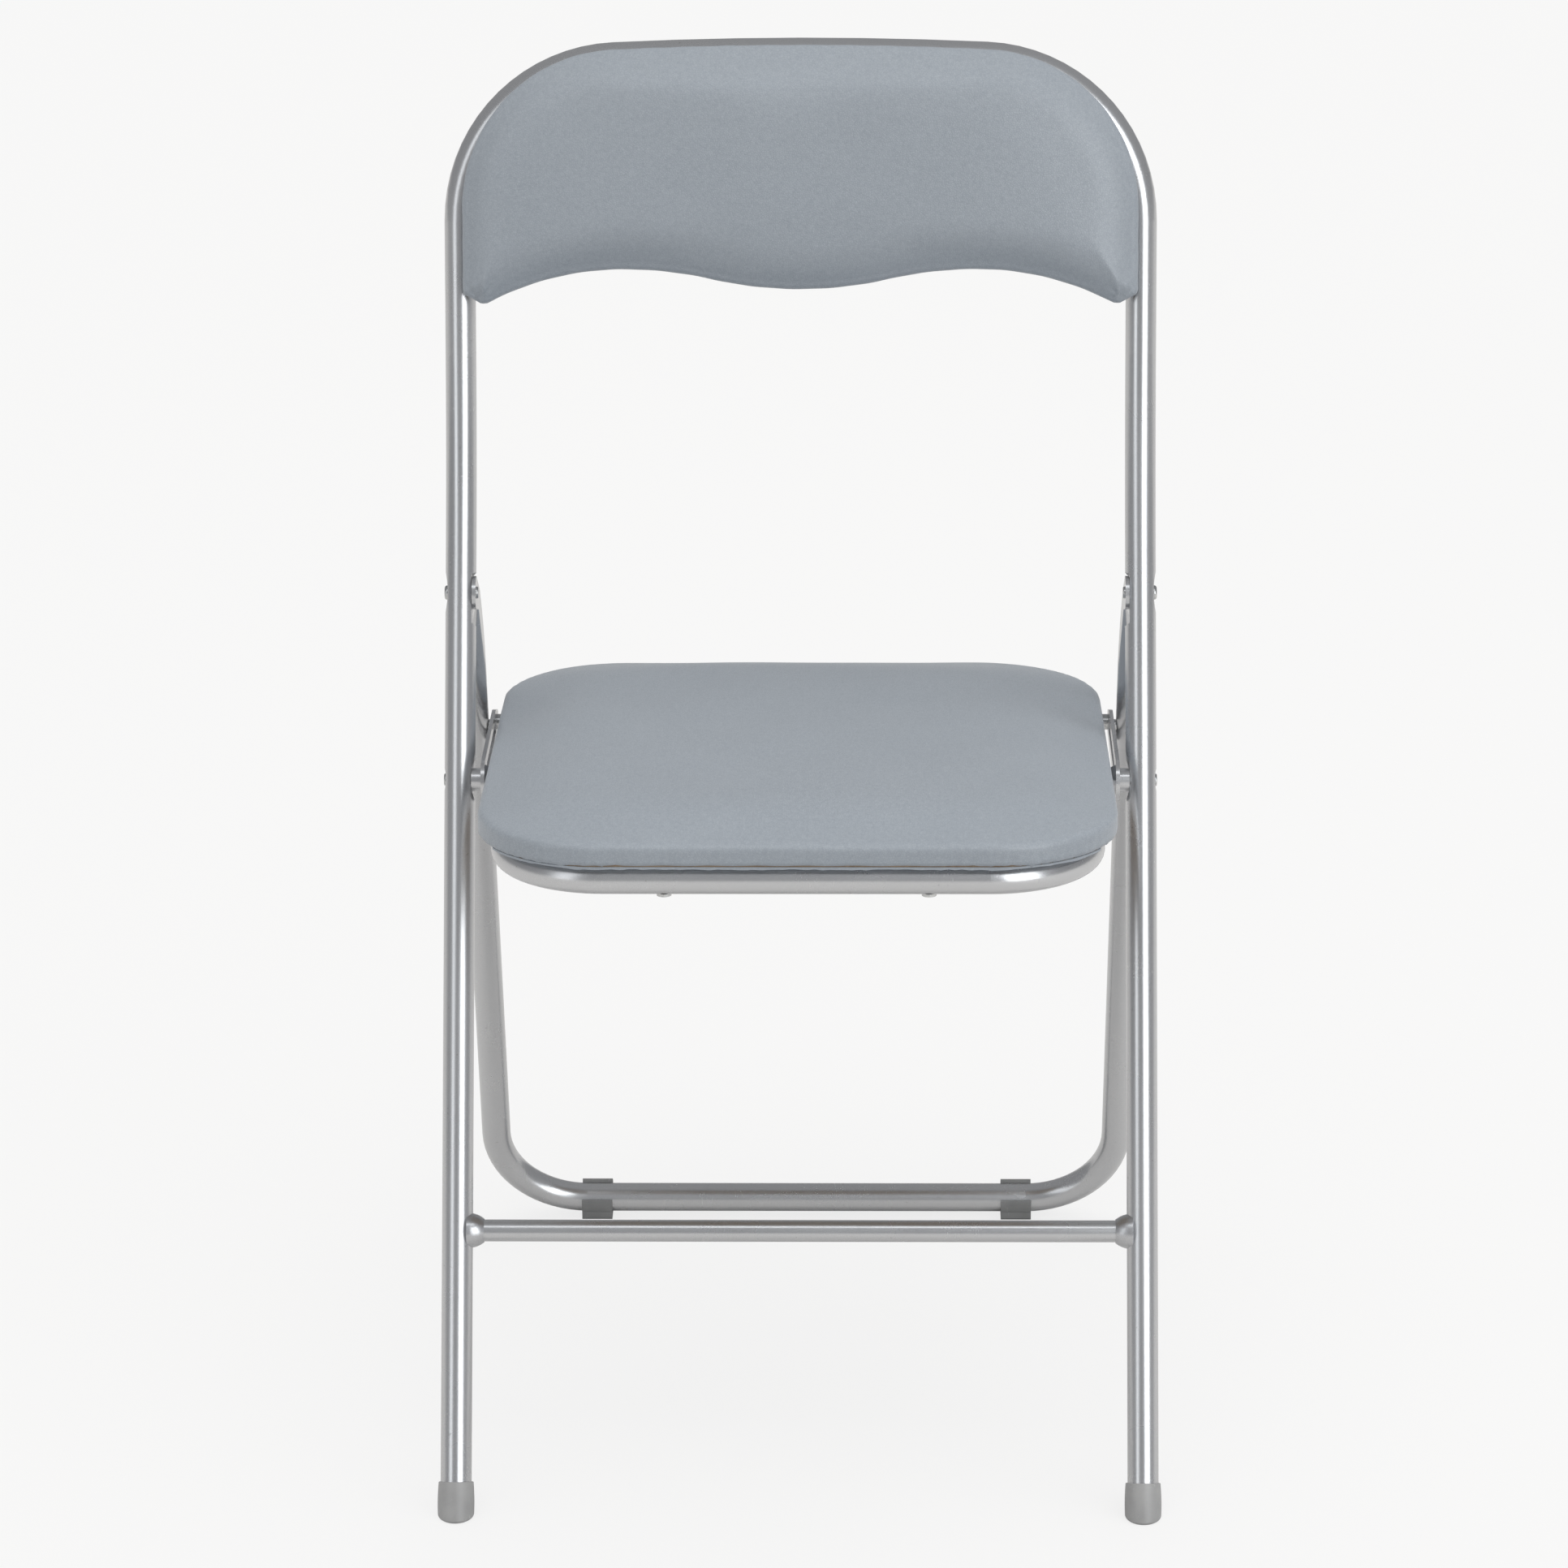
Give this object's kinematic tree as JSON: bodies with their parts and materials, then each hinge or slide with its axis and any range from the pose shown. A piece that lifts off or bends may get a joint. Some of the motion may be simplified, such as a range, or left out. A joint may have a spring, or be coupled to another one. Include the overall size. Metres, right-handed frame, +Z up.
{
  "type": "folding chair",
  "caption": "Folding chair with a bent round-tube frame, a padded vinyl seat and a padded vinyl backrest with a waved lower edge.",
  "frame": {"origin": "on the floor, under the middle of the open chair's bounding box", "axes": "+Z up, the sitter faces -Y, +X to the viewer's right when looking at the chair's front"},
  "size_m": [0.4436, 0.4594, 0.8435],
  "materials": {
    "frame_paint": "silver metallic paint, satin gloss",
    "weld_paint": "painted weld bead, slightly rough",
    "vinyl": "blue-grey grained vinyl, soft satin",
    "liner": "thin non-woven backing, matt",
    "foam": "open-cell cushion foam, matt",
    "board": "pressed fibre board, matt",
    "front_cap_plastic": "moulded grey plastic, satin",
    "rear_clip_plastic": "moulded dark grey plastic, matt",
    "black_plastic": "black moulded plastic, matt",
    "zinc_steel": "bright zinc plated steel",
    "bush_plastic": "natural nylon, matt"
  },
  "bodies": {
    "main_frame": {"main_frame_tube": "frame_paint", "front_crossbar": "frame_paint", "crossbar_welds": "weld_paint", "front_foot_cap_left": "front_cap_plastic", "front_foot_cap_right": "front_cap_plastic", "upper_pivot_rivets": "zinc_steel", "seat_pivot_rod": "zinc_steel", "backrest_tabs": "frame_paint", "backrest_back_liner": "liner", "backrest_board": "board", "backrest_foam": "foam", "backrest_cover": "vinyl", "backrest_screws": "zinc_steel"},
    "rear_legs": {"rear_leg_tube": "frame_paint", "slide_pins": "zinc_steel", "rear_foot_clip_left": "rear_clip_plastic", "rear_foot_clip_right": "rear_clip_plastic"},
    "seat": {"seat_frame_tube": "frame_paint", "seat_cross_tube": "frame_paint", "cross_tube_welds": "weld_paint", "seat_pivot_bushes": "bush_plastic", "seat_tube_plugs": "black_plastic", "slot_bracket_left": "frame_paint", "slot_bracket_right": "frame_paint", "bracket_spacers": "zinc_steel", "bracket_rivets": "zinc_steel", "seat_board": "board", "seat_foam": "foam", "seat_cover": "vinyl", "seat_screws": "zinc_steel", "seat_staples": "zinc_steel"}
  },
  "joints": [
    {"name": "rear_legs_fold", "type": "hinge", "parent": "main_frame", "child": "rear_legs", "pos_m": [0, 0.02362, 0.51485], "axis": [-1, 0, 0], "range_deg": [0, 44]},
    {"name": "seat_fold", "type": "hinge", "parent": "main_frame", "child": "seat", "pos_m": [0, -0.0259, 0.40962], "axis": [-1, 0, 0], "range_deg": [0, 111.8]}
  ],
  "couplings": [
    {"joint": "seat_fold", "follows": "rear_legs_fold", "ratio": 2.54}
  ]
}
